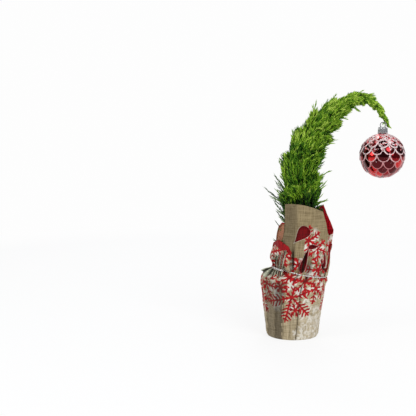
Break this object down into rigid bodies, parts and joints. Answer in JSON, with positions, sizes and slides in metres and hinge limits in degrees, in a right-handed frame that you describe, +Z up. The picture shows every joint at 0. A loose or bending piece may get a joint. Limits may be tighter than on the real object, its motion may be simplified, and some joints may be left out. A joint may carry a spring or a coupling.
{
  "type": "potted lemon cypress spiral topiary",
  "caption": "Small potted cypress bound into a spiral of needle bands, its leader bent over in an arch with a hanging bauble, the pot dressed in tied printed paper.",
  "frame": {"origin": "centre of the flat underside of the wrapped pot, on the surface it stands on", "axes": "+Z up, +X the way the leader arches over, -Y the front of the wrap's tall flap"},
  "size_m": [0.1871, 0.086, 0.3191],
  "materials": {
    "foliage": "soft scale needles, lime at the tips and darker inside",
    "bark": "thin reddish brown bark",
    "soil": "dark moist potting soil",
    "pot_plastic": "thin dark nursery pot plastic",
    "wrap_paper": "linen brown woven-look paper with red and frosted white winter print, dark red inside",
    "tie_wire": "thin silver wire",
    "bauble_red": "metallic red scales with white glitter rims",
    "bauble_silver": "ribbed silver cap and wire loop"
  },
  "bodies": {
    "root": {"nursery_pot": "pot_plastic", "potting_soil": "soil", "pot_wrap": "wrap_paper", "wrap_collar": "wrap_paper", "neck_tie": "tie_wire", "trunk": "bark", "leader_arch": "bark", "leader_tip": "bark", "foliage_turn_01": "foliage", "foliage_turn_02": "foliage", "foliage_turn_03": "foliage", "foliage_turn_04": "foliage", "foliage_turn_05": "foliage", "foliage_turn_06": "foliage", "foliage_turn_07": "foliage", "foliage_turn_08": "foliage", "foliage_turn_09": "foliage", "foliage_turn_10": "foliage", "bauble_ball": "bauble_red", "bauble_cap": "bauble_silver"}
  },
  "joints": []
}
